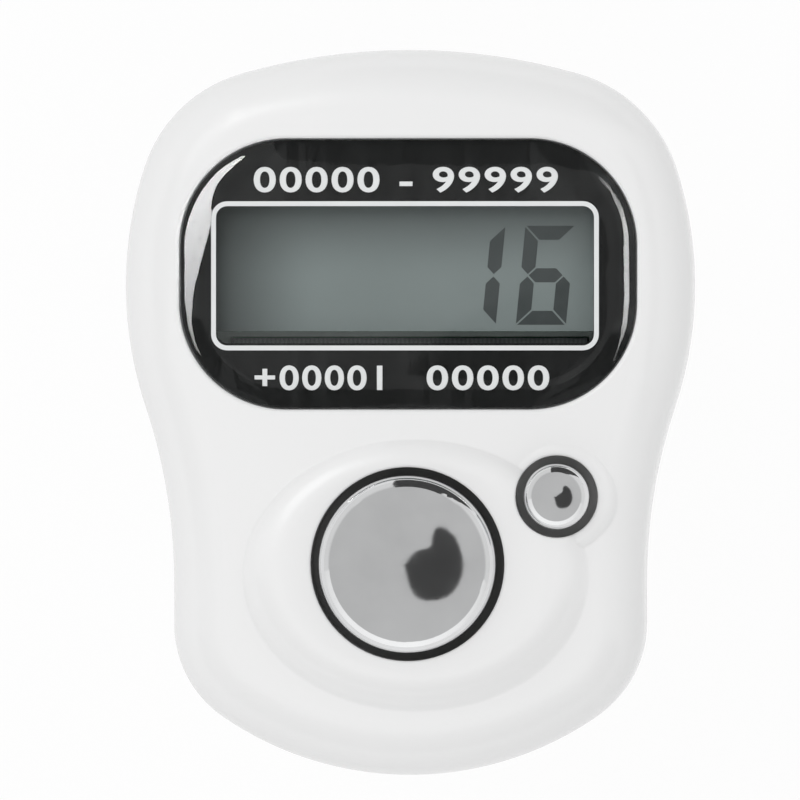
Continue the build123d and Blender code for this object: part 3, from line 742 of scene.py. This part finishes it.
# %% Frame line
WINDOW = (-0.2, 7.9)
LINE_INSIDE = (21.86, 8.06, 0.66)
LINE_WIDTH = 0.28
WELD = 0.001
inside = rounded_box(*LINE_INSIDE)
wide, tall, corner = LINE_INSIDE
outside = rounded_box(wide + 2 * LINE_WIDTH, tall + 2 * LINE_WIDTH, corner + LINE_WIDTH)
level = mask_high.z / MM
top = level + PRINT_THICK
strips = []
for i in range(len(inside)):
    after = (i + 1) % len(inside)
    strips.append((inside[i], outside[i], outside[after], inside[after]))
mesh = bmesh.new()
for foot in (level, top):
    for strip_points in strips:
        mesh.faces.new([mesh.verts.new(mm(x + WINDOW[0], y + WINDOW[1], foot)) for x, y in strip_points])
for ring in (inside, outside):
    for i in range(len(ring)):
        (x0, y0), (x1, y1) = ring[i], ring[(i + 1) % len(ring)]
        wall = ((x0, y0, level), (x1, y1, level), (x1, y1, top), (x0, y0, top))
        mesh.faces.new([mesh.verts.new(mm(x + WINDOW[0], y + WINDOW[1], z)) for x, y, z in wall])
bmesh.ops.remove_doubles(mesh, verts=mesh.verts, dist=WELD * MM)
window_line = settle(into_object(mesh, "window_line"), white_print)
print("frame line:", len(window_line.data.polygons), "faces")


# %% [markdown]
# The numbers come from the lettering that every copy of Blender carries. Each line
# is typed, thickened, turned into a mesh and fitted to its width and height.

# %% Numbers
NUMBER_SPACING = 1.12
NUMBER_WEIGHT = 0.02


def number_line(name, words, middle, width, height):
    """Plain numbers as a thin sheet, fitted to a width and a height in millimetres."""
    typed = bpy.data.curves.new(name, "FONT")
    typed.body = words
    typed.size = 1
    typed.space_character = NUMBER_SPACING
    typed.bevel_depth = NUMBER_WEIGHT
    typed.bevel_resolution = 0
    typed.extrude = 0.01
    typed.resolution_u = 6
    carrier = bpy.data.objects.new(name + "_typed", typed)
    bpy.context.scene.collection.objects.link(carrier)
    ready = bpy.context.evaluated_depsgraph_get()
    data = bpy.data.meshes.new_from_object(carrier.evaluated_get(ready))
    bpy.data.objects.remove(carrier)
    data.name = name
    low = [min(v.co[i] for v in data.vertices) for i in range(3)]
    high = [max(v.co[i] for v in data.vertices) for i in range(3)]
    wide, tall, deep = (high[i] - low[i] for i in range(3))
    for vertex in data.vertices:
        x = (vertex.co.x - low[0]) / wide - 0.5
        y = (vertex.co.y - low[1]) / tall - 0.5
        z = (vertex.co.z - low[2]) / deep
        vertex.co = mm(middle[0] + x * width, middle[1] + y * height, level + z * PRINT_THICK)
    made = bpy.data.objects.new(name, data)
    bpy.context.scene.collection.objects.link(made)
    return settle(made, white_print)


number_line("range_numbers", "00000 - 99999", middle=(-0.15, 13.45), width=17.6, height=1.5)
number_line("count_numbers", "+00001", middle=(-5.2, 2.0), width=7.4, height=1.45)
number_line("reset_numbers", "00000", middle=(4.6, 2.0), width=7.1, height=1.45)
print("numbers: three lines")


# %% [markdown]
# ## Display
# The display shows 16. Each figure is made of seven-segment bars with mitred ends
# and a slight slant, laid as a very thin dark sheet on the grey front film.

# %% Figures
FIGURE = (2.9, 5.73)
BAR = 0.81
BAR_GAP = 0.07
SLANT = math.tan(math.radians(5.6))
FIGURE_FOOT = 5.07
ONE_LEFT = 2.12
SIX_LEFT = 6.18
INK_THICK = 0.01
film_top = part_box("lcd_polariser")[1].z / MM


def bars(which):
    """Outlines of the named bars of one figure, upright, from its lower left corner."""
    wide, tall = FIGURE
    mid = tall / 2
    t, g, h = BAR, BAR_GAP, BAR / 2
    shapes = {
        "top": [(g, tall), (wide - g, tall), (wide - t - g, tall - t), (t + g, tall - t)],
        "foot": [(t + g, t), (wide - t - g, t), (wide - g, 0), (g, 0)],
        "middle": [
            (h + g, mid), (t + g, mid + h), (wide - t - g, mid + h),
            (wide - h - g, mid), (wide - t - g, mid - h), (t + g, mid - h),
        ],
    }
    upper_left = [(0, tall - g), (t, tall - t - g), (t, mid + h + g), (h, mid + g), (0, mid + h + g)]
    shapes["upper left"] = upper_left
    shapes["lower left"] = [(x, tall - y) for x, y in upper_left]
    shapes["upper right"] = [(wide - x, y) for x, y in upper_left]
    shapes["lower right"] = [(wide - x, tall - y) for x, y in upper_left]
    return [shapes[name] for name in which]


def figure(name, foot_left, which):
    """One figure of the display."""
    outlines = [
        [(foot_left + x + SLANT * y, FIGURE_FOOT + y) for x, y in outline] for outline in bars(which)
    ]
    return sheet_from(name, outlines, film_top, INK_THICK)


segment_ink = finish("segment_ink", (0.043, 0.051, 0.051), (0.055, 0.063, 0.063), 1.0, (0.5, 0.6), 0.2)
six_bars = ["top", "upper left", "middle", "lower left", "lower right", "foot"]
one = figure("figure_one", ONE_LEFT, ["upper right", "lower right"])
six = figure("figure_six", SIX_LEFT, six_bars)
for made in (one, six):
    settle(made, segment_ink)
print("figures:", one.name, six.name)


# %% [markdown]
# ## Finger strap
# Two soft straps hang from heads inside the rear cover. The left one has a row of
# holes, and the right one passes under it and clips into two holes with pegs. Each
# is one band with rounded edges, drawn along a line of straight runs and one bend.

# %% Bands
STRAP_WIDTH = 9.0
STRAP_THICK = 1.2
STRAP_SIDE = 10.6
NECK_WIDTH = 7.0
HEAD_SIZE = (3.2, 10.6, 1.2)
HEAD_EDGE = 0.25
BEND = 5.6
BEND_MIDDLE = 5.0
NECK_TOP = 20.4
COVER_FOOT = 19.0
TIP_CORNER = 2.5
EDGE = 0.3
EDGE_STEPS = 4
DROP_STEPS = 12
BEND_STEPS = 24
RUN_STEPS = 40


def stations(side, run_level, tip):
    """Stations along a strap from the cover to its tip: x, z, turn from straight down."""
    sign = 1 if side > 0 else -1
    bend_level = run_level + BEND
    found = [(side, COVER_FOOT, 0.0)]
    for i in range(1, DROP_STEPS):
        found.append((side, COVER_FOOT + (bend_level - COVER_FOOT) * i / DROP_STEPS, 0.0))
    for i in range(BEND_STEPS + 1):
        turn = math.pi / 2 * i / BEND_STEPS
        x = sign * (BEND_MIDDLE + BEND * math.cos(turn))
        found.append((x, bend_level - BEND * math.sin(turn), turn))
    start = sign * BEND_MIDDLE
    for i in range(1, RUN_STEPS + 1):
        found.append((start + (tip - start) * i / RUN_STEPS, run_level, math.pi / 2))
    return found


def band(mesh, side, run_level, tip):
    """A strap band from the cover to its tip, added to a mesh."""
    sign = 1 if side > 0 else -1
    rings = []
    path = stations(side, run_level, tip)
    for x, z, turn in path:
        half = STRAP_WIDTH / 2
        left = abs(tip - x) if turn == math.pi / 2 else TIP_CORNER
        if left < TIP_CORNER:
            half -= TIP_CORNER - math.sqrt(TIP_CORNER**2 - (TIP_CORNER - left) ** 2)
        ring = []
        for across, through in rounded_box(2 * half, STRAP_THICK, EDGE, EDGE_STEPS):
            point = mm(x + sign * through * math.cos(turn), across, z - through * math.sin(turn))
            ring.append(mesh.verts.new(point))
        rings.append(ring)
    for first, second in zip(rings, rings[1:]):
        for i in range(len(first)):
            after = (i + 1) % len(first)
            mesh.faces.new((first[i], first[after], second[after], second[i]))
    mesh.faces.new(rings[0])
    mesh.faces.new(rings[-1])
    bmesh.ops.recalc_face_normals(mesh, faces=mesh.faces)


# %% [markdown]
# Edges that turn sharply stay crisp. A narrow neck and a flat head hold each strap in
# the rear cover, and both straps are one soft white rubber.

# %% Edges, heads and rubber
def soft_edges(data, limit=math.radians(50)):
    """Smooth shading, with the edges that turn sharply kept crisp."""
    mesh = bmesh.new()
    mesh.from_mesh(data)
    for face in mesh.faces:
        face.smooth = True
    for edge in mesh.edges:
        edge.smooth = len(edge.link_faces) != 2 or edge.calc_face_angle(0) < limit
    mesh.to_mesh(data)
    mesh.free()


def head(mesh, side):
    """The narrow neck and flat head that keep a strap in the rear cover."""
    neck_size = (STRAP_THICK, NECK_WIDTH, NECK_TOP - COVER_FOOT)
    for size, foot in ((neck_size, COVER_FOOT), (HEAD_SIZE, NECK_TOP)):
        block = bmesh.ops.create_cube(mesh, size=1)["verts"]
        bmesh.ops.scale(mesh, vec=mm(*size), verts=block)
        bmesh.ops.translate(mesh, vec=mm(side, 0, foot + size[2] / 2), verts=block)
        edges = list({edge for vertex in block for edge in vertex.link_edges})
        bmesh.ops.bevel(mesh, geom=edges, offset=HEAD_EDGE * MM, segments=3, affect="EDGES", profile=0.5)


strap_rubber = finish(
    "white_strap", (0.76, 0.76, 0.75), (0.81, 0.81, 0.80), 5, (0.45, 0.58), 0.25, bump=0.004
)

# %% [markdown]
# The pegged strap lies lowest. Its two pegs taper to rounded tips and start a little
# inside the band.

# %% Pegged strap
PEG_PLACES = (-1.8, 0.6)
PEG_SECTION = [
    (0, 1.0), (0.9, 1.0), (0.9, 1.2), (0.82, 1.45), (0.68, 1.85),
    (0.6, 2.1), (0.48, 2.21), (0.25, 2.25), (0, 2.25),
]
PEGGED_TIP = -6.0
mesh = bmesh.new()
band(mesh, STRAP_SIDE, STRAP_THICK / 2, PEGGED_TIP)
head(mesh, STRAP_SIDE)
for x in PEG_PLACES:
    turned(mesh, (x, 0), PEG_SECTION)
pegged = into_object(mesh, "pegged_strap")
soft_edges(pegged.data)
pegged.data.materials.append(strap_rubber)
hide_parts("strap_root", "strap_tab")
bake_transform(pegged)
print("pegged strap:", len(pegged.data.polygons), "faces")

# %% [markdown]
# The holed strap lies over it. Four punches with a flared foot and top cut its holes,
# so that each hole has a rounded rim on both faces. The band is cut while it is one
# clean skin, and its neck and head are added afterwards.

# %% Holed strap
HOLE_PLACES = (-4.2, -1.8, 0.6, 3.0)
HOLE_RADIUS = 1.05
HOLE_RIM = 0.1
RIM_STEPS = 5
RUN_LEVEL = 1.9
HOLED_TIP = 4.8
mesh = bmesh.new()
band(mesh, -STRAP_SIDE, RUN_LEVEL, HOLED_TIP)
whole = into_object(mesh, "holed_strap_whole")
mesh = bmesh.new()
for x in HOLE_PLACES:
    rim = []
    for i in range(RIM_STEPS + 1):
        angle = math.pi / 2 * i / RIM_STEPS
        out = HOLE_RADIUS + HOLE_RIM * (1 - math.sin(angle))
        rim.append((out, RUN_LEVEL - STRAP_THICK / 2 + HOLE_RIM * (1 - math.cos(angle))))
    upper = [(radius, 2 * RUN_LEVEL - height) for radius, height in reversed(rim)]
    foot = RUN_LEVEL - STRAP_THICK
    top = RUN_LEVEL + STRAP_THICK
    wide = HOLE_RADIUS + HOLE_RIM
    turned(mesh, (x, 0), [(0, foot), (wide, foot), *rim, *upper, (wide, top), (0, top)])
punches = into_object(mesh, "punches")
cut = whole.modifiers.new("holes", "BOOLEAN")
cut.object = punches
cut.operation = "DIFFERENCE"
cut.solver = "MANIFOLD"
ready = bpy.context.evaluated_depsgraph_get()
data = bpy.data.meshes.new_from_object(whole.evaluated_get(ready))
data.name = "holed_strap"
bpy.data.objects.remove(punches)
bpy.data.objects.remove(whole)
mesh = bmesh.new()
mesh.from_mesh(data)
head(mesh, -STRAP_SIDE)
mesh.to_mesh(data)
mesh.free()
soft_edges(data)
holed = bpy.data.objects.new("holed_strap", data)
bpy.context.scene.collection.objects.link(holed)
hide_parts("strap_holed")
settle(holed, strap_rubber)
even = holed.modifiers.new("even_shading", "WEIGHTED_NORMAL")
even.keep_sharp = True
print("holed strap:", len(data.polygons), "faces")


# %% [markdown]
# ## Rubber domes
# Under each button a rubber dome stands on the board and pushes the button back
# up. Each is turned from its section.

# %% Domes
DOME_BASE = 0.5
DOME_WEB = 0.4
DOME_ROOF = 0.6
DOME_EDGE = 0.12
CAP_EDGE = 0.15
HOLLOW = 0.1
HOLLOW_RISE = 0.14
DOME_TURNS = 48
pale_rubber = finish(
    "pale_rubber", (0.56, 0.56, 0.54), (0.63, 0.63, 0.61), 1.5, (0.55, 0.7), 0.15, bump=0.002
)


def dome(name, node, place, cap, foot):
    """A rubber dome that replaces its CAD node."""
    low, high = (corner.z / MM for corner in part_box(node))
    root = foot - DOME_BASE
    rim_top = low + DOME_BASE
    inside = cap - DOME_WEB
    ceiling = high - DOME_ROOF
    section = [
        (0, high), (cap - CAP_EDGE, high), (cap, high - DOME_EDGE),
        (root - HOLLOW, rim_top + HOLLOW_RISE), (root + HOLLOW, rim_top),
        (foot - DOME_EDGE, rim_top), (foot, rim_top - DOME_EDGE), (foot, low),
        (root - DOME_WEB, low), (inside, ceiling - DOME_EDGE), (inside - HOLLOW, ceiling), (0, ceiling),
    ]
    mesh = bmesh.new()
    turned(mesh, place, section, DOME_TURNS)
    made = into_object(mesh, name)
    soft_edges(made.data)
    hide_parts(node)
    settle(made, pale_rubber)
    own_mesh(made)
    return made


dome("count_spring", "count_dome", place=(0, -8.75), cap=2.0, foot=4.4)
dome("reset_spring", "reset_dome", place=(8.6, -4.85), cap=1.1, foot=2.4)
print("domes: two, on the board")
